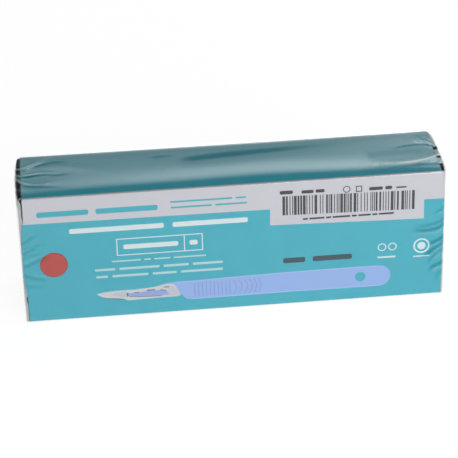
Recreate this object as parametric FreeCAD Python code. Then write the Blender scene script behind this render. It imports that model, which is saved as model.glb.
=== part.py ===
import FreeCAD, Part
import math
import os

# Sealed carton of disposable scalpels in its clear shrink film, in millimetres.
# The origin is the middle of the base. X runs along the length, the printed front faces -Y, Z is up.

Vector = FreeCAD.Vector

# Carton
carton_length = 200.0         # between the raw ends of the four long panels
carton_depth = 46.0
carton_height = 66.0
board_thickness = 0.45
crease_radius = 0.5           # outside of the four long folds

# Crown of the top panel, where the pouches push it up, and the fuller bow along its middle
panel_crown = 0.7
crown_fullness = 6            # the crown is level over most of the width and falls near the creases
crown_rise = 16.0             # over which it rises from each raw end
panel_bow = 0.6
bow_middle = 16.0             # the bow is fullest here, to the right of the middle
bow_half_length = 38.0
bow_end_share = 0.4           # of the full bow, towards the ends, before it dies out there

# End panels, hinged at the foot, tucked in under the top panel and bowed out between their sides
left_side_stand = 1.8         # how far the left panel's upright edges stand past the raw ends
right_side_stand = 0.7
left_head_reach = 2.6         # how far the tuck fold reaches past the raw ends at its middle
right_head_reach = 2.1
end_side_margin = 0.5         # each side, so the panel is narrower than the carton
end_panel_root = 3.0          # overlap of a closed end with the carton's body
tuck_fold_radius = 1.2
flap_slit_depth = 5.0         # depth of the open slit between end panel and dust flap
flap_slit_foot = 8.0          # height of the slit's lower end above the base
flap_slit_width = 0.3

# Glue seam along the back panel's lower edge
seam_height = 2.4             # of the raw edge above the base
seam_step = 0.3               # width and depth of the groove at that edge

# Shrink film
film_thickness = 0.2
film_front_gap = 0.15         # between the film and the front and back panels
film_end_gap = 0.2            # between the film and the end panels
film_crease_gap = 0.05        # between the film and the top panel's long creases
film_top_gap = 0.5            # between the film and the top panel at the middle of its bow
film_edge_radius = 0.35       # inside of the film along the upright and long edges
film_turn_share = 0.95        # of the largest turn that still clears the top panel's raw corner
film_bulge_length = 20.0      # of the top film that the ends' bulge draws outward

# Furrow that runs lengthwise in the top film, behind the middle
furrow_depth = 0.35
furrow_half_width = 2.4
furrow_from_middle = 8.0      # behind the carton's middle
furrow_centre = 5.0           # along the length
furrow_drift = 0.09           # sideways run for each millimetre of length
furrow_half_length = 38.0

# Gathers, which fan out from the two ends of each upright end seam
gather_drop = 12.0            # from the film's end edge down to the point where they meet
gather_half_width = 1.3       # close to that point
gather_widening = 0.06        # growth of the half width for each millimetre out
gather_start = 3.0            # distance over which a gather rises or sinks to the flat film
seam_fin_height = 0.8
seam_fin_half_width = 1.8

# Direction from upright in degrees, height, and distance at which the gather has faded
left_gathers = [
    (-62.0, 0.45, 21.0),
    (-43.0, 0.5, 26.0),
    (-22.0, 0.75, 44.0),
    (8.0, 0.7, 38.0),
    (33.0, 0.75, 44.0),
    (57.0, 0.45, 24.0),
]
right_gathers = [
    (-64.0, 0.45, 21.0),
    (-40.0, 0.7, 34.0),
    (-19.0, 0.8, 50.0),
    (6.0, 0.5, 28.0),
    (28.0, 0.7, 40.0),
    (52.0, 0.5, 26.0),
]
foot_gathers = [
    (-58.0, 0.6, 19.0),
    (-30.0, 0.8, 14.0),
    (3.0, 0.7, 13.0),
    (31.0, 0.8, 14.0),
    (60.0, 0.6, 19.0),
]

# Spacing of the knots of the shaped surfaces
cross_step = 1.8
plain_cross_step = 5.5
end_step = 3.3
gathered_step = 3.2
gathered_length = 42.0        # of the top film, from each end
plain_step = 11.0
surface_degree = 3
square_corner = math.pi / 2
near = 0.01                   # two places closer than this are taken as the same

# Red indicator disc, stuck to the front panel under the film
disc_diameter = 13.3
disc_thickness = 0.1
disc_from_left = 13.0         # disc centre from the carton's left end
disc_from_base = 30.3

half_length = carton_length / 2
half_depth = carton_depth / 2
base_level = film_thickness   # the carton stands in its film
top_level = base_level + carton_height
upper_gather_level = top_level - gather_drop
lower_gather_level = base_level + gather_drop
side_stands = {-1: left_side_stand, 1: right_side_stand}
head_reaches = {-1: left_head_reach, 1: right_head_reach}
head_gathers = {-1: left_gathers, 1: right_gathers}


def bell(distance, half_width):
    """Smooth bump: 1 at its middle and almost nothing at twice the half width."""
    return math.exp(-(distance / half_width) ** 2)


def ramp(value):
    """Smooth step from 0 to 1."""
    share = min(1.0, max(0.0, value))
    return share * share * (3 - 2 * share)


def arch(distance, half_width, fullness=2):
    """Arch: 1 at its middle and 0 at each side. A full one is level over most of its width."""
    return max(0.0, 1 - abs(distance / half_width) ** fullness)


def spaced(low, high, step):
    """Evenly spaced values from low to high, both included, about a step apart."""
    count = max(surface_degree, round((high - low) / step))
    return [low + (high - low) * index / count for index in range(count + 1)]


def pole_places(knots):
    """Where a clamped surface takes its poles from: the mean of each run of knots."""
    ends = surface_degree - 1
    padded = [knots[0]] * ends + knots + [knots[-1]] * ends
    return [sum(padded[index:index + surface_degree]) / surface_degree
            for index in range(len(knots) + ends)]


def knot_counts(knots):
    """Knot counts that hold a surface to its outermost poles."""
    return [surface_degree + 1] + [1] * (len(knots) - 2) + [surface_degree + 1]


def shaped_face(along_knots, cross_knots, place):
    """Smooth face through a field of places, given by position along and across."""
    poles = [[place(along, y) for y in pole_places(cross_knots)] for along in pole_places(along_knots)]
    surface = Part.BSplineSurface()
    surface.buildFromPolesMultsKnots(poles, knot_counts(along_knots), knot_counts(cross_knots),
                                     along_knots, cross_knots, False, False,
                                     surface_degree, surface_degree)
    return surface.toShape()


def turned_face(rows, cross_knots):
    """Round turn between two shaped faces: first row, corner row and last row of its poles."""
    arc_weights = [[weight] * len(rows[0]) for weight in (1.0, math.cos(square_corner / 2), 1.0)]
    surface = Part.BSplineSurface()
    surface.buildFromPolesMultsKnots(rows, [3, 3], knot_counts(cross_knots), [0.0, 1.0], cross_knots,
                                     False, False, 2, surface_degree, arc_weights)
    return surface.toShape()


def closed_solid(faces):
    """Solid from faces that share their edges."""
    shell = Part.makeShell(faces)
    shell.sewShape()
    return Part.makeSolid(shell)


def bow_along(x):
    """Share of the full bow at a place along the length."""
    peak = bow_end_share + (1 - bow_end_share) * bell(x - bow_middle, bow_half_length)
    return peak * max(0.0, 1 - (x / half_length) ** 4)


def panel_lift(x, y, flat):
    """Height of the top panel over its creases."""
    crown = panel_crown * ramp((half_length - abs(x)) / crown_rise) * arch(y, flat, crown_fullness)
    return crown + panel_bow * bow_along(x) * arch(y, flat)


def carton_body():
    """Tube of four long panels with round creases, closed off square, its top panel crowned."""
    block = Part.makeBox(carton_length, carton_depth, carton_height,
                         Vector(-half_length, -half_depth, base_level))
    long_edges = [edge for edge in block.Edges if abs(edge.BoundBox.XLength - carton_length) < near]
    block = block.makeFillet(crease_radius, long_edges)
    flat = half_depth - crease_radius
    lid = shaped_face(
        spaced(-half_length, half_length, plain_step), spaced(-flat, flat, plain_cross_step),
        lambda x, y: Vector(x, y, top_level + panel_lift(x, y, flat)))
    kept = [face for face in block.Faces if face.BoundBox.ZMin < top_level - near]
    return closed_solid(kept + [lid])


def end_outline(side, z, bowed):
    """Outline of a closed end at a height, straight at its foot and bowed out at its head."""
    root = side * (half_length - end_panel_root)
    stand = side * (half_length + side_stands[side])
    width = half_depth - end_side_margin
    front = Vector(stand, -width, z)
    back = Vector(stand, width, z)
    bow = Part.Arc(front, Vector(side * (half_length + head_reaches[side]), 0, z), back).toShape()
    return Part.Wire([
        Part.makeLine(Vector(root, -width, z), front),
        bow if bowed else Part.makeLine(front, back),
        Part.makeLine(back, Vector(root, width, z)),
        Part.makeLine(Vector(root, width, z), Vector(root, -width, z)),
    ])


def end_closure(side):
    """Closed end of the carton, with the round tuck fold at its head."""
    head = top_level - board_thickness
    closure = Part.makeLoft([end_outline(side, base_level, False),
                             end_outline(side, head, True)], True, True)
    fold = max((edge for edge in closure.Edges if edge.BoundBox.ZMin > head - near),
               key=lambda edge: abs(edge.CenterOfMass.x))
    return closure.makeFillet(tuck_fold_radius, [fold])


def flap_slit(side, face_side):
    """Open slit between an end panel and its dust flaps, at the front or the back."""
    low = base_level + flap_slit_foot
    height = top_level - 2 * board_thickness - low
    inner_x = half_length if side > 0 else -half_length - flap_slit_width
    inner_y = half_depth - flap_slit_depth if face_side > 0 else -half_depth
    return Part.makeBox(flap_slit_width, flap_slit_depth, height, Vector(inner_x, inner_y, low))


def carton():
    """Folded card carton with its contents, sealed, as one solid."""
    slits = [flap_slit(side, face_side) for side in (-1, 1) for face_side in (-1, 1)]
    groove = Part.makeBox(carton_length, seam_step, seam_step,
                          Vector(-half_length, half_depth - seam_step, base_level + seam_height))
    return carton_body().fuse([end_closure(-1), end_closure(1)]).cut(slits + [groove])


def fan_lift(gathers, out, beside):
    """Height of a fan of gathers, at a distance out from and beside their meeting point."""
    reach = math.hypot(out, beside)
    lift = 0.0
    for angle, height, fade in gathers:
        turn = math.atan2(beside, out) - math.radians(angle)
        if abs(turn) < square_corner:
            half_width = gather_half_width + gather_widening * reach
            rise = ramp(reach / gather_start) * (1 - ramp(reach / fade))
            lift = max(lift, height * rise * bell(reach * math.sin(turn), half_width))
    return lift


def end_lift(side, y, z):
    """Height of the upright seam and the gathers on an end of the film."""
    seam = ramp((z - lower_gather_level) / gather_start) * ramp((upper_gather_level - z) / gather_start)
    lift = seam_fin_height * seam * bell(y, seam_fin_half_width)
    lift = max(lift, fan_lift(head_gathers[side], z - upper_gather_level, y))
    lift = max(lift, fan_lift(foot_gathers, lower_gather_level - z, y))
    return lift * ramp((z - base_level) / gather_start)


class FilmForm:
    """Sizes of one surface of the film, grown outward from its inner surface."""

    def __init__(self, grow):
        self.floor = film_thickness - grow
        self.ceiling = top_level + film_crease_gap + grow
        self.half_width = half_depth + film_front_gap + grow
        self.edge_radius = film_edge_radius + grow
        self.flat = self.half_width - self.edge_radius
        self.grow = grow

    def end_x(self, side):
        """Where an end's upright edges stand."""
        return side * (half_length + side_stands[side] + film_end_gap + self.grow)

    def turn_radius(self, side):
        """Radius of the turn over an end, drawn round the raw corner of the top panel."""
        stand = side_stands[side] + film_end_gap
        largest = stand + film_crease_gap + math.sqrt(2 * stand * film_crease_gap)
        return film_turn_share * largest + self.grow

    def turn_level(self, side):
        """Height where the turn starts."""
        return self.ceiling - self.turn_radius(side)

    def turn_x(self, side):
        """Where the turn meets the top."""
        return self.end_x(side) - side * self.turn_radius(side)

    def bulge(self, side, y, share):
        """Outward reach of an end's middle past its upright edges."""
        reach = head_reaches[side] - side_stands[side]
        return side * reach * share * arch(y, self.flat, crown_fullness)

    def edge_fade(self, y):
        """Fades the gathers out towards the film's long and upright edges."""
        return ramp((self.flat - abs(y)) / gather_start)

    def end_place(self, side, gathered, y, z):
        """A place on an end."""
        share = (z - self.floor) / (self.turn_level(side) - self.floor)
        lift = end_lift(side, y, z) * self.edge_fade(y) if gathered else 0.0
        return Vector(self.end_x(side) + self.bulge(side, y, share) + side * lift, y, z)

    def top_place(self, gathered, x, y):
        """A place on the top, over the crowned panel, with its furrow."""
        side = 1 if x > 0 else -1
        inboard = abs(self.turn_x(side)) - abs(x)
        middle = furrow_from_middle + furrow_drift * (x - furrow_centre)
        furrow = bell(y - middle, furrow_half_width) * bell(x - furrow_centre, furrow_half_length)
        rise = ramp(inboard / gather_drop)
        bow = panel_bow * bow_along(x) + (film_top_gap - film_crease_gap) * rise
        lift = bow * arch(y, self.flat) + panel_crown * rise * arch(y, self.flat, crown_fullness)
        lift -= furrow_depth * furrow * self.edge_fade(y)
        if gathered:
            round_the_turn = self.turn_radius(side) * square_corner
            out = self.turn_level(side) - upper_gather_level + round_the_turn + inboard
            lift += fan_lift(head_gathers[side], out, y) * self.edge_fade(y)
        drawn = 1 - ramp(inboard / film_bulge_length)
        return Vector(x + self.bulge(side, y, 1.0) * drawn, y, self.ceiling + lift)

    def turn_rows(self, side, gathered, cross_knots):
        """Poles of a turn: where the end stops, the corner, and where the top starts."""
        first, corner, last = [], [], []
        for y in pole_places(cross_knots):
            start = self.end_place(side, gathered, y, self.turn_level(side))
            finish = self.top_place(gathered, self.turn_x(side), y)
            first.append(start)
            corner.append(Vector(start.x, y, finish.z))
            last.append(finish)
        return [first, corner, last]


def film_core(form):
    """Plain block inside one surface of the film, with its upright and long edges rounded."""
    left, right = form.end_x(-1), form.end_x(1)
    width = 2 * form.half_width
    block = Part.makeBox(right - left, width, form.ceiling - form.floor,
                         Vector(left, -form.half_width, form.floor))
    for side in (-1, 1):
        turn = [edge for edge in block.Edges if edge.BoundBox.YLength > width / 2
                and edge.BoundBox.ZMin > form.ceiling - near and edge.CenterOfMass.x * side > half_length]
        block = block.makeFillet(form.turn_radius(side), turn)
    outer = [edge for edge in block.Edges
             if edge.BoundBox.YLength < near and edge.BoundBox.ZMax > form.floor + near]
    return block.makeFillet(form.edge_radius, outer)


def film_block(grow, gathered):
    """Solid inside one surface of the film: bulged ends, round turns and crowned top."""
    form = FilmForm(grow)
    cross_knots = spaced(-form.flat, form.flat, cross_step if gathered else plain_cross_step)
    left, right = form.turn_x(-1), form.turn_x(1)
    low, high = left + gathered_length, right - gathered_length
    along_knots = spaced(low, high, plain_step)
    end_knots_step = gathered_step if gathered else plain_step
    along_knots = (spaced(left, low, end_knots_step)[:-1] + along_knots
                   + spaced(high, right, end_knots_step)[1:])
    kept = [face for face in film_core(form).Faces
            if face.BoundBox.ZMax < form.floor + near or abs(face.CenterOfMass.y) > form.flat / 2]
    shaped = [shaped_face(along_knots, cross_knots, lambda x, y: form.top_place(gathered, x, y))]
    for side in (-1, 1):
        up_knots = spaced(form.floor, form.turn_level(side), end_step if gathered else plain_step)
        shaped.append(shaped_face(up_knots, cross_knots,
                                  lambda z, y: form.end_place(side, gathered, y, z)))
        shaped.append(turned_face(form.turn_rows(side, gathered, cross_knots), cross_knots))
    return closed_solid(kept + shaped)


def film_wrap():
    """The film skin: gathered outside, plain inside, closed all round the carton."""
    return film_block(film_thickness, True).cut(film_block(0.0, False))


def indicator_dot():
    """Red disc on the front panel."""
    centre = Vector(-half_length + disc_from_left, -half_depth, base_level + disc_from_base)
    return Part.makeCylinder(disc_diameter / 2, disc_thickness, centre, Vector(0, -1, 0))


def main():
    os.makedirs("parts", exist_ok=True)
    for make in (carton, film_wrap, indicator_dot):
        shape = make()
        box = shape.BoundBox
        print(make.__name__, "solids", len(shape.Solids), "valid", shape.isValid(),
              "volume", round(shape.Volume, 2),
              "size", round(box.XLength, 2), round(box.YLength, 2), round(box.ZLength, 2))
        shape.exportStep("parts/" + make.__name__ + ".step")


main()
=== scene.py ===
import math
import random

import bpy
import numpy as np
from mathutils import Matrix, Vector


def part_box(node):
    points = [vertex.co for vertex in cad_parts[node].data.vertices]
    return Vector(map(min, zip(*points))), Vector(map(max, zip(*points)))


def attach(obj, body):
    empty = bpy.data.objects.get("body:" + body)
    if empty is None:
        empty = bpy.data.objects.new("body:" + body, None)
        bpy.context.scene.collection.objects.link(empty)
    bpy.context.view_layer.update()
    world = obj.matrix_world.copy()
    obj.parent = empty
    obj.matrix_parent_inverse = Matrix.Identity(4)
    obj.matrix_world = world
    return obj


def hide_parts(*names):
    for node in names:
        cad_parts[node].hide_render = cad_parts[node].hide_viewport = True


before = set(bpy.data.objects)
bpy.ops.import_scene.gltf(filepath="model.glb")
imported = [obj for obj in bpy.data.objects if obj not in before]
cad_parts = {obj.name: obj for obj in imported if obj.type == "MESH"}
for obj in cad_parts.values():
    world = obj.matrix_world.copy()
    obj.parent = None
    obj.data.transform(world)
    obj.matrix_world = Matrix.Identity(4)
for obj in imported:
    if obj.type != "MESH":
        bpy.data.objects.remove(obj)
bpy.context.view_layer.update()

# A sealed carton of disposable scalpels in shrink film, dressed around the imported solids.
# Lengths are in millimetres in the settings and go to metres when a mesh is made.

mm = 0.001
cartonLow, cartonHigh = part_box("carton")
dotLow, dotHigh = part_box("indicator_dot")


def linearColour(hexText):
    channels = [int(hexText[start:start + 2], 16) / 255 for start in (1, 3, 5)]
    return [c / 12.92 if c <= 0.04045 else ((c + 0.055) / 1.055) ** 2.4 for c in channels] + [1.0]


def addNode(tree, kind, settings=None, links=None):
    # settings and links go to an input by its name or number, stops to the colour ramp, and other
    # settings to the node itself
    node = tree.nodes.new("ShaderNode" + kind)
    for key, value in (settings or {}).items():
        if key == "stops":
            elements = node.color_ramp.elements
            while len(elements) < len(value):
                elements.new(0.5)
            for element, (position, colour) in zip(elements, value):
                element.position, element.color = position, colour
        elif isinstance(key, int) or key in node.inputs:
            node.inputs[key].default_value = value
        else:
            setattr(node, key, value)
    for key, source in (links or {}).items():
        tree.links.new(source, node.inputs[key])
    return node


def grey(level):
    return (level, level, level, 1.0)


def newMaterial(name):
    material = bpy.data.materials.new(name)
    material.use_nodes = True
    material.node_tree.nodes.clear()
    return material, material.node_tree


def smooth(value):
    share = np.clip(value, 0.0, 1.0)
    return share * share * (3 - 2 * share)


def bell(distance, halfWidth):
    return np.exp(-(distance / halfWidth) ** 2)


def arch(distance, halfWidth):
    return np.clip(1 - (distance / halfWidth) ** 2, 0.0, 1.0)


# Materials

carton = {"halfLength": 100.0, "base": cartonLow.z / mm, "front": cartonLow.y / mm,
          "back": cartonHigh.y / mm}

board = {
    "teal": "#37b6c8",
    "tealDeep": "#2eb1c4",
    # the cut edge's fibres, in a teal-grey darkened as painted shade of the line beside the panel's edge
    "raw": "#8fa9ac",
    "rawDeep": "#6f8f95",
    "endPale": "#c6c8cb",
    "rightHead": "#cfc9cc",
    # painted shade of the gaps at the closed ends
    "paintedGapShade": "#0d0e12",
    "bandInk": "#d6d4db",
    "mottleSize": 9.0,            # of the faint clouds in the solid ink
    "fibreSize": 0.6,
    "endMottle": 0.12,            # how much the tone of the bare board at the ends varies
    "frontDepth": 0.3,            # how far behind the front face its ink still reaches
    "wrapDepth": 1.4,             # how far the pale band runs on over the head crease
    "creaseLevel": 65.3,          # where the head crease begins, above the base
    "rawReach": 0.12,             # how far past the raw ends the cut edge of the board shows
    "stripHeight": 2.8,           # of the painted shade strip at the head of the left end, the gap under its tuck fold
    "stripStart": 2.8,            # how far behind the front face it begins
    "gapDepth": 1.0,              # how far back the painted shade of the gap beside the left front edge runs
    "gapScale": 2.0,              # the gap's width where its ramp is white
    "spotStart": 99.6, "spotEnd": 101.6,   # of the painted shade spots at the head of the right end, in its open tuck gaps
    "spotHeight": 1.8,
    "roughness": 0.42,
    "inkGloss": 0.12,             # specular level of varnished ink
}

# height above the base, and how wide the painted shade of the gap beside the left front edge is there
gapLeft = [(0, 0.65), (9, 0.7), (11, 1.1), (13, 1.1), (14.5, 0.0), (52, 0.0), (55, 0.75),
           (62, 0.7), (64, 1.3), (66, 1.9)]
# stretches of the right head where the tuck gap stands open and shade is painted, by their place across
openGaps = [(-21.6, -14.0), (-8.3, -6.1), (0.9, 3.9)]


def makePrintedBoard():
    # Folding boxboard, offset printed in solid teal and varnished: an even ink with a faint mottle,
    # a satin sheen, and teal-grey fibres where the board was cut, darkened as painted shade of the line
    # there. Painted shade also stands in the gaps at the closed ends: a dark strip and a dark line at the
    # left one, dark spots at the right one.
    material, tree = newMaterial("printedBoard")
    place = addNode(tree, "TexCoord").outputs["Object"]
    axes = addNode(tree, "SeparateXYZ", links={0: place}).outputs
    outward = addNode(tree, "Math", {"operation": "ABSOLUTE"}, {0: axes["X"]}).outputs[0]
    mottle = addNode(tree, "TexNoise",
                     {"Scale": 1 / (board["mottleSize"] * mm), "Detail": 5.0, "Roughness": 0.6},
                     {"Vector": place})
    fibres = addNode(tree, "TexNoise",
                     {"Scale": 1 / (board["fibreSize"] * mm), "Detail": 3.0, "Distortion": 1.4},
                     {"Vector": place})
    colours = {name: linearColour(value) for name, value in board.items() if isinstance(value, str)}

    # where each kind of surface lies: the measure, the side of the limit, and the limit
    limits = {
        "atFront": (axes["Y"], "LESS_THAN", cartonLow.y + board["frontDepth"] * mm),
        "wrapped": (axes["Y"], "LESS_THAN", cartonLow.y + board["wrapDepth"] * mm),
        "atCrease": (axes["Z"], "GREATER_THAN", cartonLow.z + board["creaseLevel"] * mm),
        "past": (outward, "GREATER_THAN", (carton["halfLength"] + board["rawReach"]) * mm),
        "onRight": (axes["X"], "GREATER_THAN", 0.0),
        "nearFront": (axes["Y"], "LESS_THAN", cartonLow.y + board["gapDepth"] * mm),
        "head": (axes["Z"], "GREATER_THAN", cartonHigh.z - board["stripHeight"] * mm),
        "behindFront": (axes["Y"], "GREATER_THAN", cartonLow.y + board["stripStart"] * mm),
        "crown": (axes["Z"], "GREATER_THAN", cartonHigh.z - board["spotHeight"] * mm),
    }
    masks = {name: addNode(tree, "Math", {"operation": side, 1: limit}, {0: measure}).outputs[0]
             for name, (measure, side, limit) in limits.items()}

    # the painted shade of the gap beside the left front edge, from a ramp over the height
    level = addNode(tree, "MapRange", {"From Min": cartonLow.z, "From Max": cartonHigh.z},
                    {"Value": axes["Z"]})
    gapRamp = addNode(tree, "ValToRGB",
                      {"stops": [(z / 66, grey(width / board["gapScale"])) for z, width in gapLeft]},
                      {0: level.outputs[0]})
    gapEdge = addNode(tree, "Math", {"operation": "MULTIPLY_ADD", 1: board["gapScale"] * mm,
                                     2: carton["halfLength"] * mm}, {0: gapRamp.outputs[0]})
    masks["beside"] = addNode(tree, "Math", {"operation": "GREATER_THAN"},
                              {0: gapEdge.outputs[0], 1: outward}).outputs[0]
    # the painted shade spots at the right head, where its tuck gap stands open
    across = addNode(tree, "MapRange", {"From Min": cartonLow.y, "From Max": cartonHigh.y},
                     {"Value": axes["Y"]})
    depth = carton["back"] - carton["front"]
    spotStops = [(0.0, grey(0.0))]
    for low, high in openGaps:
        spotStops += [(low / depth + 0.5, grey(1.0)), (high / depth + 0.5, grey(0.0))]
    spots = addNode(tree, "ValToRGB", {"stops": spotStops}, {0: across.outputs[0]})
    spots.color_ramp.interpolation = "CONSTANT"
    masks["spots"] = spots.outputs[0]
    spotHalf = (board["spotEnd"] - board["spotStart"]) / 2 * mm
    masks["inner"] = addNode(tree, "Math", {"operation": "COMPARE", 1: board["spotStart"] * mm + spotHalf,
                                            2: spotHalf}, {0: axes["X"]}).outputs[0]
    # the strip, the gap and the spots are where painted shade goes
    both = {"onCrease": ("wrapped", "atCrease"), "strip": ("head", "behindFront"),
            "gap": ("beside", "nearFront"), "atGap": ("inner", "crown"), "spotted": ("spots", "atGap")}
    for name, (first, second) in both.items():
        product = addNode(tree, "Math", {"operation": "MULTIPLY"}, {0: masks[first], 1: masks[second]})
        masks[name] = product.outputs[0]
    masks["darkLeft"] = addNode(tree, "Math", {"operation": "MAXIMUM"},
                                {0: masks["strip"], 1: masks["gap"]}).outputs[0]
    cut = addNode(tree, "Math", {"operation": "COMPARE", 1: carton["halfLength"] * mm,
                                 2: board["rawReach"] * mm}, {0: outward})
    masks["raw"] = addNode(tree, "Math", {"operation": "SUBTRACT", "use_clamp": True},
                           {0: cut.outputs[0], 1: masks["atFront"]}).outputs[0]

    # the inked face, with the pale band running on over the front panel's rounded head crease
    ink = addNode(tree, "ValToRGB", {"stops": [(0.3, colours["tealDeep"]), (0.7, colours["teal"])]},
                  {0: mottle.outputs["Fac"]})
    face = addNode(tree, "Mix", {"data_type": "RGBA", 7: colours["bandInk"]},
                   {0: masks["onCrease"], 6: ink.outputs["Color"]})
    # the cut edge of the board shows at the raw ends, behind the front face, its fibres darkened as painted
    # shade of the line there
    rawTone = addNode(tree, "Mix", {"data_type": "RGBA", 6: colours["rawDeep"], 7: colours["raw"]},
                      {0: fibres.outputs["Fac"]})
    withRaw = addNode(tree, "Mix", {"data_type": "RGBA"},
                      {0: masks["raw"], 6: face.outputs[2], 7: rawTone.outputs[2]})
    # past it the closed ends begin: bare board, clouded a little, the left one with painted shade at its head
    # and beside its front edge
    leftTone = addNode(tree, "Mix", {"data_type": "RGBA", 6: colours["endPale"], 7: colours["paintedGapShade"]},
                       {0: masks["darkLeft"]})
    endTone = addNode(tree, "Mix", {"data_type": "RGBA", 7: colours["rightHead"]},
                      {0: masks["onRight"], 6: leftTone.outputs[2]})
    halfMottle = addNode(tree, "Math", {"operation": "MULTIPLY", 1: 0.5}, {0: mottle.outputs["Fac"]})
    bothClouds = addNode(tree, "Math", {"operation": "MULTIPLY_ADD", 1: 0.5},
                         {0: fibres.outputs["Fac"], 2: halfMottle.outputs[0]})
    cloud = addNode(tree, "MapRange", {"To Min": 1 - board["endMottle"], "To Max": 1.0},
                    {"Value": bothClouds.outputs[0]})
    mottledEnd = addNode(tree, "Mix", {"data_type": "RGBA", "blend_type": "MULTIPLY", 0: 1.0},
                         {6: endTone.outputs[2], 7: cloud.outputs[0]})
    withEnds = addNode(tree, "Mix", {"data_type": "RGBA"},
                       {0: masks["past"], 6: withRaw.outputs[2], 7: mottledEnd.outputs[2]})
    # painted shade in the open tuck gaps at the right head
    withSpots = addNode(tree, "Mix", {"data_type": "RGBA", 7: colours["paintedGapShade"]},
                        {0: masks["spotted"], 6: withEnds.outputs[2]})
    bump = addNode(tree, "Bump", {"Strength": 0.25, "Distance": 0.02 * mm}, {"Height": fibres.outputs["Fac"]})
    shader = addNode(tree, "BsdfPrincipled",
                     {"Roughness": board["roughness"], "IOR": 1.5, "Specular IOR Level": board["inkGloss"]},
                     {"Base Color": withSpots.outputs[2], "Normal": bump.outputs["Normal"]})
    addNode(tree, "OutputMaterial", links={"Surface": shader.outputs[0]})
    return material


def makeInk(name, hexColour, mottleShare=0.06, roughness=0.4):
    # Offset ink on coated board: nearly even, with the fine mottle that printing leaves.
    material, tree = newMaterial(name)
    place = addNode(tree, "TexCoord").outputs["Object"]
    mottle = addNode(tree, "TexNoise", {"Scale": 1 / (2.2 * mm), "Detail": 6.0, "Roughness": 0.65},
                     {"Vector": place})
    colour = linearColour(hexColour)
    weaker = [c * (1 - mottleShare) for c in colour[:3]] + [1.0]
    tone = addNode(tree, "Mix", {"data_type": "RGBA", 6: weaker, 7: colour}, {0: mottle.outputs["Fac"]})
    shader = addNode(tree, "BsdfPrincipled",
                     {"Roughness": roughness, "IOR": 1.5, "Specular IOR Level": board["inkGloss"]},
                     {"Base Color": tone.outputs[2]})
    addNode(tree, "OutputMaterial", links={"Surface": shader.outputs[0]})
    return material


dot = {
    "red": "#c53326",
    "redWorn": "#ba2d22",
    "rim": "#822a2c",
    "rimWidth": 0.55,
    "rimEdge": 0.1,               # the outermost stretch, where the rim is darkest
    "fibreSize": 0.8,
}


def makeIndicatorPaper():
    # Printed paper label: matt red with short fibres, darker towards its rim.
    material, tree = newMaterial("indicatorPaper")
    place = addNode(tree, "TexCoord").outputs["Object"]
    fibres = addNode(tree, "TexNoise",
                     {"Scale": 1 / (dot["fibreSize"] * mm), "Detail": 6.0, "Distortion": 1.0},
                     {"Vector": place})
    tone = addNode(tree, "Mix", {"data_type": "RGBA", 6: linearColour(dot["redWorn"]),
                                 7: linearColour(dot["red"])},
                   {0: fibres.outputs["Fac"]})
    centre = (dotLow + dotHigh) / 2
    reach = addNode(tree, "VectorMath", {"operation": "DISTANCE", 1: centre}, {0: place})
    radius = (dotHigh.x - dotLow.x) / 2
    rim = addNode(tree, "MapRange",
                  {"From Min": radius - dot["rimWidth"] * mm, "From Max": radius - dot["rimEdge"] * mm},
                  {"Value": reach.outputs["Value"]})
    withRim = addNode(tree, "Mix", {"data_type": "RGBA", 7: linearColour(dot["rim"])},
                      {0: rim.outputs[0], 6: tone.outputs[2]})
    bump = addNode(tree, "Bump", {"Strength": 0.3, "Distance": 0.02 * mm},
                   {"Height": fibres.outputs["Fac"]})
    shader = addNode(tree, "BsdfPrincipled",
                     {"Roughness": 0.6, "IOR": 1.5, "Specular IOR Level": 0.3},
                     {"Base Color": withRim.outputs[2], "Normal": bump.outputs["Normal"]})
    addNode(tree, "OutputMaterial", links={"Surface": shader.outputs[0]})
    return material


filmLook = {
    "clearTint": (0.985, 0.992, 0.993, 1.0),
    "glossTint": (0.95, 0.97, 0.98, 1.0),
    "faceOnShare": 0.075,         # light that both faces of the film send back, seen square on
    "grazingShare": 0.96,
    "grazingPower": 3.4,
    "roughness": 0.11,
    "waveSize": 7.0,
    "waveDepth": 0.012,
    "foldTint": "#aeeaf2",        # of the gathers, where the film lies in several layers
    "foldPaleHighlight": "#fafdfd",        # of the thickest of them, partly a painted highlight on the crests
    "foldShare": 0.9,
    "paleFrom": 0.75,             # how thick a gather is where it starts to turn from tint to pale
    "creaseShadeTint": (0.5, 0.72, 0.74, 1.0),   # painted shade: what the film lets through where creases and furrows are painted dark
    "shadeReflectionLoss": 0.9,           # of the reflection that is painted out over painted shade, open gaps and the left head's strip
}


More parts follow.
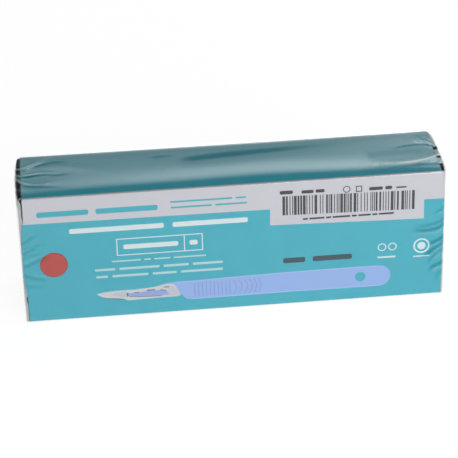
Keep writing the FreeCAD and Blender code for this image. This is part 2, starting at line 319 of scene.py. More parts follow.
def makeShrinkFilm():
    # Polyolefin shrink film, blown and heat shrunk: clear and glossy, mirror-like at a grazing look,
    # with a slow unevenness where it cooled, milky where gathers lay several layers together, with a
    # painted highlight on their crests and beside the edge wrinkles, and painted shade in creases and
    # furrows, where its reflection is painted out too.
    material, tree = newMaterial("shrinkFilm")
    place = addNode(tree, "TexCoord").outputs["Object"]
    waves = addNode(tree, "TexNoise", {"Scale": 1 / (filmLook["waveSize"] * mm), "Detail": 2.0},
                    {"Vector": place})
    bump = addNode(tree, "Bump", {"Strength": 1.0, "Distance": filmLook["waveDepth"] * mm},
                   {"Height": waves.outputs["Fac"]})
    facing = addNode(tree, "LayerWeight", {"Blend": 0.5}, {"Normal": bump.outputs["Normal"]})
    grazing = addNode(tree, "Math", {"operation": "POWER", 1: filmLook["grazingPower"]},
                      {0: facing.outputs["Facing"]})
    flatShare = addNode(tree, "MapRange",
                        {"To Min": filmLook["faceOnShare"], "To Max": filmLook["grazingShare"]},
                        {"Value": grazing.outputs[0]})
    creased = addNode(tree, "Attribute", {"attribute_name": "creased"})
    dulled = addNode(tree, "Attribute", {"attribute_name": "dulled"})
    kept = addNode(tree, "MapRange", {"To Min": 1.0, "To Max": 1 - filmLook["shadeReflectionLoss"]},
                   {"Value": dulled.outputs["Fac"]})
    share = addNode(tree, "Math", {"operation": "MULTIPLY"}, {0: flatShare.outputs[0], 1: kept.outputs[0]})
    through = addNode(tree, "Mix", {"data_type": "RGBA", 6: filmLook["clearTint"],
                                    7: filmLook["creaseShadeTint"]}, {0: creased.outputs["Fac"]})
    clear = addNode(tree, "BsdfTransparent", links={"Color": through.outputs[2]})
    gloss = addNode(tree, "BsdfPrincipled",
                    {"Base Color": filmLook["glossTint"], "Metallic": 1.0,
                     "Roughness": filmLook["roughness"]},
                    {"Normal": bump.outputs["Normal"]})
    single = addNode(tree, "MixShader",
                     links={0: share.outputs[0], 1: clear.outputs[0], 2: gloss.outputs[0]})
    folded = addNode(tree, "Attribute", {"attribute_name": "folded"})
    foldTone = addNode(tree, "ValToRGB",
                       {"stops": [(filmLook["paleFrom"], linearColour(filmLook["foldTint"])),
                                  (1.0, linearColour(filmLook["foldPaleHighlight"]))]},
                       {0: folded.outputs["Fac"]})
    milkyAndHighlit = addNode(tree, "BsdfPrincipled", {"Roughness": 0.25, "IOR": 1.5},
                    {"Base Color": foldTone.outputs["Color"], "Normal": bump.outputs["Normal"]})
    foldShare = addNode(tree, "Math", {"operation": "MULTIPLY", 1: filmLook["foldShare"]},
                        {0: folded.outputs["Fac"]})
    mixed = addNode(tree, "MixShader",
                    links={0: foldShare.outputs[0], 1: single.outputs[0], 2: milkyAndHighlit.outputs[0]})
    addNode(tree, "OutputMaterial", links={"Surface": mixed.outputs[0]})
    return material


# Carton and disc keep their solids and get their finish

def dressNode(name, material):
    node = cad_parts[name]
    node.data.materials.clear()
    node.data.materials.append(material)


printedBoard = makePrintedBoard()
dressNode("carton", printedBoard)
dressNode("indicator_dot", makeIndicatorPaper())
print("board and disc dressed")


def addPiece(name, vertices, faces, material):
    # a piece of printed card, given in millimetres
    mesh = bpy.data.meshes.new(name)
    mesh.from_pydata([[c * mm for c in vertex] for vertex in vertices], [], faces)
    mesh.update()
    mesh.materials.append(material)
    piece = bpy.data.objects.new(name, mesh)
    bpy.context.scene.collection.objects.link(piece)
    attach(piece, "root")
    return piece


# the tuck folds at the head of both ends, pressed out under the film
tuckFolds = {
    "left": {"side": -1, "halfWidth": 22.3, "start": 100.4, "low": 61.6, "top": 65.9, "rise": 0.3,
             "sideReach": 2.0, "middleReach": 2.8, "round": 2.0, "ripple": 0.05},
    "right": {"side": 1, "halfWidth": 22.2, "start": 100.05, "low": 64.2, "top": 66.2, "rise": 0.4,
              "sideReach": 0.85, "middleReach": 2.1, "round": 0.5, "ripple": 0.1},
}


def makeTuckFold(name):
    # a round-nosed strip of board, bowed and slightly rippled
    t = tuckFolds[name]
    vertices, faces, steps = [], [], 60
    for step in range(steps + 1):
        y = t["halfWidth"] * (2 * step / steps - 1)
        bowed = float(arch(y, t["halfWidth"]))
        nose = 100 + t["sideReach"] + (t["middleReach"] - t["sideReach"]) * bowed
        nose += t["ripple"] * math.sin(1.9 * y) * math.sin(0.53 * y + 1)
        top, r = t["top"] + t["rise"] * bowed, t["round"]
        turn = [(nose - r + r * math.sin(math.radians(a)), top - r + r * math.cos(math.radians(a)))
                for a in range(0, 91, 15)]
        profile = [(t["start"], top - 0.4)] + turn + [(nose, t["low"]), (t["start"], t["low"])]
        vertices += [(t["side"] * x, y, z) for x, z in profile]
    count = len(profile)
    for step in range(steps):
        for k in range(count):
            after = (k + 1) % count
            a, b = step * count, (step + 1) * count
            faces.append([a + k, a + after, b + after, b + k])
    faces += [list(range(count))[::-1], list(range(steps * count, (steps + 1) * count))]
    faces = [face[::-1] for face in faces] if t["side"] < 0 else faces
    fold = addPiece(name + "_tuck_fold", vertices, faces, printedBoard)
    fold.data.shade_smooth()
    return fold


makeTuckFold("left")
makeTuckFold("right")


# Print: thin layers of ink on the panels, drawn as plain shapes in x along the length and
# z above the carton's base

inkStep = 0.02                    # height of one layer of ink, drawn thicker than real


def barOutline(left, low, right, high, corner=0.0, steps=4):
    if corner <= 0:
        return [(left, low), (right, low), (right, high), (left, high)]
    points = []
    for cx, cz, start in ((right - corner, low + corner, -90), (right - corner, high - corner, 0),
                          (left + corner, high - corner, 90), (left + corner, low + corner, 180)):
        for step in range(steps + 1):
            turn = math.radians(start + 90 * step / steps)
            points.append((cx + corner * math.cos(turn), cz + corner * math.sin(turn)))
    return points


def discOutline(x, z, radius, steps=40):
    turns = [2 * math.pi * step / steps for step in range(steps)]
    return [(x + radius * math.cos(turn), z + radius * math.sin(turn)) for turn in turns]


def ringStrips(x, z, radius, width, steps=40):
    strips = []
    for step in range(steps):
        a, b = (2 * math.pi * (step + k) / steps for k in (0, 1))
        strips.append([(x + r * math.cos(t), z + r * math.sin(t))
                       for r, t in ((radius, a), (radius, b), (radius - width, b), (radius - width, a))])
    return strips


def frameStrips(left, low, right, high, width):
    return [barOutline(left, low, right, low + width), barOutline(left, high - width, right, high),
            barOutline(left, low + width, left + width, high - width),
            barOutline(right - width, low + width, right, high - width)]


def wordBars(left, right, middle, height, words, gap):
    # one plain bar for each word, with lengths in the given proportion
    room = (right - left - gap * (len(words) - 1)) / sum(words)
    bars, at = [], left
    for word in words:
        bars.append(barOutline(at, middle - height / 2, at + word * room, middle + height / 2,
                               height * 0.32))
        at += word * room + gap
    return bars


def printPatch(name, outlines, material, layer=1, panel="front", sunk=0.01):
    # each outline becomes a thin plate that grows out of the panel, from a little way inside it
    vertices, faces = [], []
    side = -1 if panel == "front" else 1
    face = carton[panel]
    for outline in outlines:
        points = outline if panel == "front" else [(-x, z) for x, z in reversed(outline)]
        first, count = len(vertices), len(points)
        for depth in (-sunk, inkStep * layer):
            vertices += [(x, face + side * depth, z + carton["base"]) for x, z in points]
        inner = list(range(first, first + count))
        outer = list(range(first + count, first + 2 * count))
        faces.append(outer if panel == "front" else outer[::-1])
        faces.append(inner[::-1] if panel == "front" else inner)
        for step in range(count):
            after = (step + 1) % count
            quad = [inner[step], inner[after], outer[after], outer[step]]
            faces.append(quad if panel == "front" else quad[::-1])
    return addPiece(name, vertices, faces, material)


paleInk = makeInk("paleGreyInk", board["bandInk"], 0.05)
whiteInk = makeInk("whiteReversedPrint", "#e6f1f2", 0.05)
fineWhiteInk = makeInk("fineReversedPrint", "#bfe2e6", 0.05)
tealInk = makeInk("tealInk", board["teal"], 0.08)
slateInk = makeInk("slateInk", "#1f4450", 0.12)
blackInk = makeInk("blackBarInk", "#2a2630", 0.15)
handleInk = makeInk("paleBlueInk", "#9dbcf2", 0.04)
handleLightInk = makeInk("paleBlueLightInk", "#abcdf6", 0.04)
ridgeInk = makeInk("paleBlueShadeInk", "#90abe6", 0.05)
bladeInk = makeInk("bladeGreyInk", "#dedddd", 0.08)
mountInk = makeInk("bladeMountInk", "#d3d3dc", 0.12)
slotInk = makeInk("bladeSlotInk", "#9cb2e8", 0.06)
bladeShadeInk = makeInk("bladeShadeInk", "#6f7396", 0.15)

band = {
    "left": -99.95, "right": 99.95, "top": 65.5,
    "lowLeft": 52.8, "lowRight": 51.9,
    "notchLeft": 16.8, "notchRight": 91.05, "notchLow": 43.6, "notchLowRight": 41.7,
}


def makeBand():
    # the pale band runs along the panel's head and drops into a tab for the overprint
    b = band
    outline = [(b["left"], b["lowLeft"]), (b["notchLeft"], 52.2), (b["notchLeft"], b["notchLow"]),
               (b["notchRight"], b["notchLowRight"]), (b["notchRight"], 51.95),
               (b["right"], b["lowRight"]), (b["right"], b["top"]), (b["left"], b["top"])]
    return printPatch("print_band", [outline], paleInk)


barcode = {
    "left": 22.8, "right": 86.4, "topLeft": 58.6, "topRight": 57.3, "low": 48.5, "lowRight": 47.15,
    "bars": 46, "seed": 41,
}


def makeBarcode():
    # a generic run of bars: widths of one to three modules, spaces of one to three
    b = barcode
    draw = random.Random(b["seed"])
    widths = [draw.choice((1, 1, 2, 3)) for _ in range(b["bars"])]
    spaces = [draw.choice((1, 1, 2, 2, 3)) for _ in range(b["bars"] - 1)]
    module = (b["right"] - b["left"]) / (sum(widths) + sum(spaces))
    bars, at = [], b["left"]
    for width, space in zip(widths, spaces + [0]):
        share = (at - b["left"]) / (b["right"] - b["left"])
        top = b["topLeft"] + (b["topRight"] - b["topLeft"]) * share
        low = b["low"] + (b["lowRight"] - b["low"]) * share
        bars.append(barOutline(at, low, at + width * module, top))
        at += (width + space) * module
    return printPatch("print_bars", bars, blackInk, 2)


makeBand()
makeBarcode()

# The raw ends of the front panel bow out over the closed ends: how far, by height above the base
lipLeft = [(0.1, 0.3), (3, 0.4), (13, 0.5), (20, 1.2), (27, 1.6), (34, 1.8), (41, 1.6), (46, 1.4),
           (52.8, 0.8)]
lipLeftHead = [(52.8, 0.8), (53.4, 0.12), (65.3, 0.04)]
lipRight = [(0.1, 0.12), (14, 0.25), (24, 0.5), (36, 0.72), (51.9, 0.74)]
lipRightHead = [(51.9, 0.74), (65.4, 0.76)]


def lipOutline(side, places):
    # from the panel's end outwards, counterclockwise seen from the front
    rim = [(side * (carton["halfLength"] + reach), z) for z, reach in places]
    inside = [(side * (carton["halfLength"] - 0.1), z) for z in (places[-1][0], places[0][0])]
    return rim + inside if side > 0 else (rim + inside)[::-1]


printPatch("panel_lips", [lipOutline(-1, lipLeft), lipOutline(1, lipRight)], tealInk, sunk=0.4)
printPatch("panel_lips_pale", [lipOutline(-1, lipLeftHead), lipOutline(1, lipRightHead)], paleInk, sunk=0.4)

# the small overprint above and below the bars: plain dashes, a ring and a box
printPatch("print_bar_notes",
           wordBars(21.6, 27.8, 60.6, 1.9, [1], 0)
           + wordBars(32.0, 43.0, 60.3, 1.7, [4, 3], 1.0)
           + frameStrips(58.0, 58.4, 61.0, 61.6, 0.45)
           + wordBars(64.4, 75.4, 59.6, 1.7, [4, 2], 1.2)
           + wordBars(77.4, 82.4, 59.4, 0.8, [1], 0), blackInk, 2)
printPatch("print_bar_ring", ringStrips(53.6, 60.2, 1.8, 0.45), blackInk, 2)
printPatch("print_bar_digits", wordBars(32.5, 76.5, 45.8, 0.95, [2, 6, 2, 7, 2, 5, 2, 6], 0.7), blackInk, 2)

# word-like bars stand where the front has rows of words
heading = {"left": -78.8, "right": 6.1, "middle": 47.6, "height": 2.6}
printPatch("print_heading", wordBars(heading["left"], heading["right"], heading["middle"],
                                     heading["height"], [10, 8], 4.2), whiteInk)
printPatch("print_box", frameStrips(-56.9, 32.8, -15.6, 42.0, 0.5)
           + [barOutline(-24.7, 33.3, -24.2, 41.5)], whiteInk)
printPatch("print_box_words", wordBars(-53.6, -27.4, 37.4, 2.5, [1], 0)
           + wordBars(-22.0, -18.1, 37.4, 2.5, [1], 0), whiteInk)
printPatch("print_rows", wordBars(-59.4, -14.3, 29.9, 0.8, [9, 2, 5, 10], 1.6)
           + wordBars(-67.7, -6.3, 25.7, 1.25, [4, 8, 5, 6], 2.0)
           + wordBars(-67.4, -6.4, 21.9, 1.25, [2, 6, 4, 7], 2.0), fineWhiteInk)
printPatch("print_band_words", wordBars(-93.7, -36.5, 57.4, 2.8, [5, 6], 3.4), tealInk, 2)
printPatch("print_band_lines", wordBars(-30.5, 5.5, 59.7, 0.9, [12, 2], 1.6)
           + wordBars(-30.3, 5.9, 56.7, 0.9, [9, 7], 1.6), tealInk, 2)
printPatch("print_code", wordBars(22.8, 56.3, 23.8, 2.8, [9, 16], 3.6), slateInk)
printPatch("print_marks", ringStrips(70.9, 27.5, 2.1, 0.5) + ringStrips(76.0, 27.5, 2.1, 0.5)
           + wordBars(68.7, 77.6, 22.0, 0.9, [1], 0)
           + ringStrips(90.2, 26.9, 4.0, 0.8) + [discOutline(90.2, 26.9, 2.0)]
           + wordBars(86.2, 94.3, 21.2, 0.7, [1], 0), whiteInk)
# the back repeats the band and the rows
printPatch("back_band", [barOutline(-99.95, 52.2, 99.95, 65.5)], paleInk, panel="back")
printPatch("back_band_words", wordBars(-93.7, -36.5, 57.4, 2.8, [5, 6], 3.4)
           + wordBars(-30.5, 5.5, 59.7, 0.9, [12, 2], 1.6) + wordBars(-30.3, 5.9, 56.7, 0.9, [9, 7], 1.6),
           tealInk, 2, "back")
printPatch("back_heading", wordBars(heading["left"], heading["right"], heading["middle"], heading["height"],
                                    [10, 8], 4.2), whiteInk, panel="back")
printPatch("back_rows", wordBars(-67.7, -6.3, 25.7, 1.25, [4, 8, 5, 6], 2.0)
           + wordBars(-67.4, -6.4, 21.9, 1.25, [2, 6, 4, 7], 2.0), fineWhiteInk, panel="back")
print("print drawn on the front and the back")


# The pictured scalpel: a plain one, drawn from a few lines

pictured = {
    "handleTop": [(-38.6, 14.4), (-36.6, 15.4), (-33.4, 16.2), (-29.5, 16.5), (-20.0, 16.5), (-3.7, 17.0),
                  (24.8, 17.5), (53.4, 17.7), (69.0, 17.6)],
    "handleLow": [(69.3, 6.3), (53.4, 6.4), (24.7, 6.5), (-4.0, 6.3), (-21.8, 6.2), (-24.3, 6.7),
                  (-25.9, 8.1), (-27.4, 10.4), (-29.2, 12.8), (-31.0, 14.4)],
    "endTurn": (69.5, 11.95), "endRadius": 5.7,
    "hole": (60.4, 12.1), "holeRadius": 2.6,
    "uprightRidges": [-20.6, -18.7, -16.8, -14.9, -13.0, -11.1, -9.2, -7.3, -5.4, -3.6],
    "bowedRidges": [(-1.6, 1.2), (0.8, 1.6), (3.3, 1.9), (5.8, 1.7), (8.2, 1.3), (10.6, 0.9)],
    "ridgeWidth": 0.62,
}


def ridgeOutline(x, bend, width):
    # one grip ridge, straight or bowed towards the handle's end
    places = [(x + bend * math.sin(math.pi * step / 10), 7.6 + 7.6 * step / 10) for step in range(11)]
    return [(u + width, v) for u, v in places] + places[::-1]


def makePictured():
    # a plain scalpel of the common kind, drawn from a few outlines
    p = pictured
    turnX, turnZ = p["endTurn"]
    turns = [math.radians(t) for t in range(84, -85, -12)]
    end = [(turnX + p["endRadius"] * math.cos(t), turnZ + p["endRadius"] * math.sin(t)) for t in turns]
    outline = (p["handleTop"] + end + p["handleLow"])[::-1]
    printPatch("print_handle", [outline], handleInk)
    rim = [(x, z - 0.55) for x, z in p["handleTop"][3:]]
    foot = [(x, z + 0.5) for x, z in p["handleLow"][:5]]
    printPatch("print_handle_light", [rim + p["handleTop"][:2:-1], p["handleLow"][:5][::-1] + foot],
               handleLightInk, 2)
    ridges = [ridgeOutline(x, 0.0, p["ridgeWidth"]) for x in p["uprightRidges"]]
    ridges += [ridgeOutline(x, bend, p["ridgeWidth"]) for x, bend in p["bowedRidges"]]
    printPatch("print_handle_ridges", ridges, ridgeInk, 2)
    printPatch("print_handle_hole", [discOutline(*p["hole"], p["holeRadius"])], tealInk, 2)
    blade = [(-67.5, 12.7), (-62.9, 13.5), (-57.3, 13.8), (-49.2, 13.8), (-44.8, 14.1), (-40.3, 14.4),
             (-37.7, 14.9), (-35.1, 15.4), (-32.6, 15.7), (-30.2, 15.2), (-29.1, 13.3), (-27.9, 11.0),
             (-27.1, 9.4), (-27.8, 8.6), (-30.2, 8.4), (-36.9, 8.5), (-42.8, 8.3), (-46.5, 8.2),
             (-50.9, 8.0), (-52.8, 8.1), (-54.4, 9.0), (-57.5, 9.6), (-62.7, 10.1), (-64.5, 10.5),
             (-66.3, 11.6)]
    printPatch("print_blade", [blade[::-1]], bladeInk, 2)
    mount = [(-33.6, 13.6), (-31.0, 14.4), (-29.5, 13.4), (-28.2, 10.8), (-27.6, 9.3), (-30.2, 9.0),
             (-34.0, 9.2), (-33.2, 11.2)]
    heel = [(-59.0, 12.9), (-53.2, 12.9), (-53.6, 10.0), (-60.5, 11.0)]
    printPatch("print_blade_mount", [mount[::-1], heel[::-1]], mountInk, 3)
    slot = [(-52.4, 12.0), (-49.3, 11.9), (-44.9, 12.2), (-42.6, 12.7), (-41.1, 12.9), (-37.8, 12.5),
            (-35.2, 12.4), (-33.3, 11.3), (-33.1, 9.8), (-36.8, 9.5), (-41.3, 9.5), (-45.0, 9.8),
            (-50.1, 10.2), (-52.7, 10.4)]
    printPatch("print_blade_slot", [slot[::-1]], slotInk, 4)
    shades = [[(-53.3, 12.2), (-52.4, 12.2), (-52.5, 10.2), (-53.2, 10.3)],
              [(-49.6, 12.2), (-47.2, 12.3), (-47.2, 11.9), (-49.6, 11.8)],
              [(-43.4, 13.2), (-39.4, 13.2), (-39.4, 12.7), (-43.4, 12.6)],
              [(-36.9, 13.0), (-33.9, 12.3), (-34.1, 11.9), (-36.9, 12.5)],
              [(-35.2, 14.2), (-32.4, 14.3), (-32.6, 13.8), (-35.0, 13.7)],
              [(-52.0, 10.3), (-45.0, 9.7), (-36.4, 9.5), (-36.4, 9.2), (-45.0, 9.4), (-52.0, 10.0)],
              [(-66.0, 11.3), (-62.7, 9.95), (-57.5, 9.4), (-54.5, 8.8), (-54.5, 8.5), (-62.8, 9.65)]]
    printPatch("print_blade_shade", [shade[::-1] for shade in shades], bladeShadeInk, 5)


makePictured()
print("pictured scalpel drawn")


# Shrink film: one closed skin over the carton, drawn tight, with gathers at both ends

film = {
    "half": 23.4, "ceiling": 66.65,
    "endLeft": 102.2, "endRight": 101.1, "bulgeLeft": 0.8, "bulgeRight": 1.1,
    "turnLeft": 2.57, "turnRight": 1.39, "edge": 0.55, "foot": 0.3,
    "widenFrom": 80.0, "widenLength": 18.0,   # where the top's edge starts to turn more roundly
    "bow": 0.8, "bowMiddle": 16.0, "bowHalf": 38.0, "bowEndShare": 0.6,
    "crown": 1.0, "crownPower": 5, "crownEndShare": 0.92, "crownLength": 12.0,
    "bulgePower": 5, "drawnLength": 20.0,
    "gatherLevel": 54.2, "footLevel": 12.2,   # where the gathers meet on each end
    "riseLeft": 0.25, "riseRight": 0.1,       # height that the gathers have on the ends themselves
    "finHeight": 0.5, "finHalf": 1.2,         # of the welded seam up the middle of each end
    "seenShift": 2.2,             # how far in front of a painted shade spot the film lies that shows it
    "turnHaze": 0.25,             # how milky the right end's turn is
    "stripShadeDull": 0.85,
    "fineStep": 0.6, "coarseStep": 2.2, "fineLength": 34.0, "upStep": 0.55,
}

# Gathers are lines of (distance out along the surface, place across), from the point on each end
# where they meet. Then come the height, the width of the front flank and that of the back flank, and
# the width of the milky crest and how milky it is; the milky crest is partly a painted highlight.
leftGathers = [
    ([(0, 0), (10, 2.4), (14, 3.6), (20, 5.2), (28, 7.0), (36, 6.4), (46, 3.4), (60, -1.0)],
     0.2, 4.2, 2.6, 1.0, 0.0),
    ([(0, 0), (6, 4.8), (11, 8.2), (13.5, 6.6), (15.8, 6.6), (18.8, 9.2), (22.6, 12.4), (27.8, 14.8),
      (34, 16.4)], 0.4, 2.0, 1.3, 0.75, 0.85),
    ([(0, 0), (6, 1.6), (11, 2.6), (13.2, -0.4), (15, -1.2), (18.6, -0.6), (21.5, 0.1), (24.5, 0.7),
      (29, 0.6), (36, 1.2)], 0.4, 2.0, 1.3, 0.7, 0.9),
    ([(0, 0), (6, 0.2), (10.5, 0.4), (12.8, -4.6), (14.8, -8.2), (17.7, -10.6), (20.5, -11.4),
      (23.8, -11.6), (27.1, -10.6), (34, -8.2)], 0.4, 2.0, 1.3, 0.75, 0.95),
    ([(0, 0), (6, -6), (11, -12), (14, -16), (19, -18.5)], 0.2, 1.4, 1.2, 0.5, 0.4),
    ([(0, 0), (6, 6.5), (12, 14), (17, 18.5)], 0.2, 1.4, 1.2, 0.5, 0.3),
]
rightGathers = [
    ([(0, 0), (6, -3), (11, -5.4), (13.7, -7.5), (16.1, -9.1), (19.8, -11.2), (24, -12.4), (28.3, -13.5),
      (37.7, -14.0), (46, -13.6), (57, -12.6)], 0.2, 2.6, 3.0, 2.1, 0.98),
    ([(0, 0), (5, 1.6), (10, 2.4), (13.2, 3.0), (14.6, 4.4), (17.4, 7.5), (20.4, 9.9), (22.5, 11.1),
      (28, 12.6)], 0.35, 2.0, 1.3, 0.8, 1.05),
    ([(0, 0), (6, 4.2), (10, 7.0), (14.0, 9.4), (16.5, 12.2), (19.3, 13.8), (23, 15.0)],
     0.25, 1.4, 1.2, 0.65, 0.75),
    ([(0, 0), (6, -6), (11, -11.0), (13.2, -13.4), (15, -14.3), (17, -15.9), (18.4, -14.2)],
     0.3, 1.2, 1.2, 0.8, 0.9),
]
footGathers = [
    ([(0, 0), (5, -5), (9, -12), (12, -19)], 0.35, 1.4, 1.4, 0.5, 0.6),
    ([(0, 0), (6, -2.5), (12.2, -6)], 0.4, 1.4, 1.4, 0.5, 0.6),
    ([(0, 0), (6, 0.3), (12.2, 0.5)], 0.35, 1.4, 1.4, 0.5, 0.6),
    ([(0, 0), (6, 2.8), (12.2, 6.5)], 0.4, 1.4, 1.4, 0.5, 0.6),
    ([(0, 0), (5, 5), (9, 12), (12, 19)], 0.35, 1.4, 1.4, 0.5, 0.6),
]


# furrows in the top, where the film sinks and mirrors the dark, with painted shade over them: places
# across and half widths at the left end, at a third of the way and at the right end, how deep and how
# much shade is painted
furrows = [
    {"left": -27.0, "right": 58.0, "across": (4.6, 7.2, 11.6), "half": (3.4, 4.6, 1.8),
     "depth": 0.12, "dark": 0.85},
    {"left": -38.0, "right": -25.0, "across": (9.2, 9.8, 10.2), "half": (1.4, 2.0, 1.2),
     "depth": 0.05, "dark": 0.6},
]

# creases in the top with painted shade along them (x, y), with their half width and strength
topCreases = [
    ([(-95.5, 7.6), (-89.4, 10.4), (-85.7, 11.6), (-77, 11.0)], 1.0, 0.9),
    ([(-99.6, -3.0), (-94.1, -1.9), (-89.7, -1.6), (-84.7, -2.7), (-75, -2.0)], 1.0, 0.85),
    ([(-98.5, -11.0), (-92.6, -13.5), (-87.9, -14.6), (-81.0, -15.0)], 1.1, 0.7),
    ([(66.0, -5.0), (74.0, -3.6), (84.0, -2.6), (98.0, -2.0), (106.0, -2.0)], 4.6, 0.42),
    ([(101.0, -16.6), (94.0, -16.4), (84.0, -16.6)], 1.5, 0.85),
    ([(103.0, 1.0), (99.8, 2.2), (98.4, 3.0), (95.8, 4.4), (93.3, 5.0), (89.1, 4.4), (84.0, 3.0),
      (79.0, 1.2)], 0.95, 0.9),
    ([(99.2, 8.2), (96.6, 11.9), (94.6, 15.6), (93.0, 17.6)], 0.6, 0.7),
    ([(100.0, 14.0), (97.5, 15.6), (95.0, 17.2)], 0.5, 0.5),
]

# Short wrinkles that run in from the upright edges on the front and the back (x, z): the points,
# height, half width and how strongly the wrinkle's steep flank gets painted shade
edgeCreases = [
    ([(-101.8, 42.4), (-99.6, 44.0), (-96.9, 46.0), (-93.0, 47.6)], 0.18, 0.91, 0.39),
    ([(-101.8, 39.6), (-98.0, 40.9), (-92.7, 42.3), (-88.0, 43.0)], 0.14, 0.78, 0.22),
    ([(-101.8, 37.2), (-99.8, 38.2), (-97.6, 39.2), (-94.0, 40.2)], 0.18, 0.78, 0.41),
    ([(-101.8, 35.0), (-99.0, 36.0), (-95.5, 36.8), (-91.0, 37.4)], 0.14, 0.78, 0.25),
    ([(-101.8, 30.4), (-98.6, 31.7), (-92.8, 34.0), (-87.0, 35.6)], 0.2, 0.91, 0.47),
    ([(-101.8, 26.3), (-98.6, 24.8), (-94.2, 23.3), (-89.0, 22.4)], 0.2, 0.91, 0.41),
    ([(-101.8, 20.6), (-98.6, 19.6), (-95.5, 19.2), (-91.0, 19.0)], 0.14, 0.78, 0.25),
    ([(101.8, 39.4), (99.6, 37.6), (96.6, 36.2), (91.0, 35.6), (84.0, 36.2)], 0.22, 0.98, 0.82),
    ([(101.8, 42.0), (98.2, 39.6), (93.2, 38.2), (86.0, 37.8)], 0.14, 0.91, 0.49),
    ([(101.8, 32.4), (99.0, 30.4), (95.6, 28.7), (91.6, 27.6)], 0.22, 0.98, 0.82),
    ([(101.8, 29.6), (99.4, 27.6), (96.6, 25.6), (92.6, 22.4), (88.6, 20.6)], 0.22, 0.98, 0.82),
    ([(101.8, 26.0), (98.4, 23.6), (95.3, 20.6), (92.6, 16.0)], 0.18, 0.91, 0.58),
    ([(101.8, 18.8), (99.2, 17.0), (96.2, 15.6), (93.0, 12.6)], 0.2, 0.98, 0.7),
    ([(101.8, 14.4), (98.6, 11.0), (96.6, 6.8)], 0.13, 0.78, 0.37),
    ([(101.4, 48.4), (98.0, 45.6), (94.4, 44.0)], 0.14, 0.78, 0.41),
]


def bandSteps(count):
    # places round a quarter turn's half, evenly spaced in angle
    return [math.tan(math.radians(45 * step / count)) for step in range(1, count + 1)]


def axisLines(flatPlaces, steps=4):
    # each grid line: its share of the flat stretch, and its place in the rounded edge
    low, high = flatPlaces[0], flatPlaces[-1]
    shares = [(place - low) / (high - low) for place in flatPlaces]
    return ([(0.0, -t) for t in bandSteps(steps)[::-1]] + [(s, 0.0) for s in shares]
            + [(1.0, t) for t in bandSteps(steps)])


def spread(low, high, step):
    count = max(1, round((high - low) / step))
    return [low + (high - low) * index / count for index in range(count)]


def smoothLine(points, steps=6):
    # curve through the points, as a run of short stretches
    p = [np.array(point, float) for point in points]
    p = [2 * p[0] - p[1]] + p + [2 * p[-1] - p[-2]]
    line = []
    for a, b, c, d in zip(p, p[1:], p[2:], p[3:]):
        for step in range(steps):
            t = step / steps
            line.append(0.5 * (2 * b + (c - a) * t + (2 * a - 5 * b + 4 * c - d) * t ** 2
                               + (3 * b - a - 3 * c + d) * t ** 3))
    return np.array(line + [p[-2]])


def besideLine(points, u, v):
    # distance from the curve, on which side of it, the length along it and its share of the whole
    line = smoothLine(points)
    lengths = np.hypot(*np.diff(line, axis=0).T)
    before = np.concatenate([[0.0], np.cumsum(lengths)])
    nearest = np.full_like(u, 1e9)
    across, along = np.zeros_like(u), np.zeros_like(u)
    for a, b, length, start in zip(line[:-1], line[1:], lengths, before):
        du, dv = (b - a) / length
        t = np.clip((u - a[0]) * du + (v - a[1]) * dv, 0, length)
        offU, offV = u - a[0] - t * du, v - a[1] - t * dv
        gap = np.hypot(offU, offV)
        closer = gap < nearest
        nearest = np.where(closer, gap, nearest)
        across = np.where(closer, np.sign(du * offV - dv * offU) * gap, across)
        along = np.where(closer, start + t, along)
    return nearest, across, along, along / before[-1]


def gathered(gathers, out, beside):
    # height of the gathers, which rise from the meeting point and fade towards their far end, and
    # how milky their crests are, partly as a painted highlight on them
    lift, milkyAndHighlit = np.zeros_like(out), np.zeros_like(out)
    for points, height, front, back, crest, strength in gathers:
        nearest, across, along, share = besideLine(points, out, beside)
        widen = 0.6 + 0.9 * share
        width = np.where(across < 0, front, back) * widen
        rise = smooth(along / 6)
        lift = lift + height * rise * (1 - smooth((share - 0.45) / 0.55)) * bell(nearest, width)
        milkyAndHighlit = milkyAndHighlit + strength * rise * (1 - smooth((share - 0.5) / 0.5)) * bell(nearest, crest * widen)
    return lift, milkyAndHighlit


def creaseShadeAlong(points, width, strength, u, v):
    # how much shade is painted near a crease's line, fading out at both ends
    nearest, across, along, share = besideLine(points, u, v)
    fade = smooth(share / 0.08) * (1 - smooth((share - 0.6) / 0.4))
    return strength * fade * bell(nearest, width), across, fade


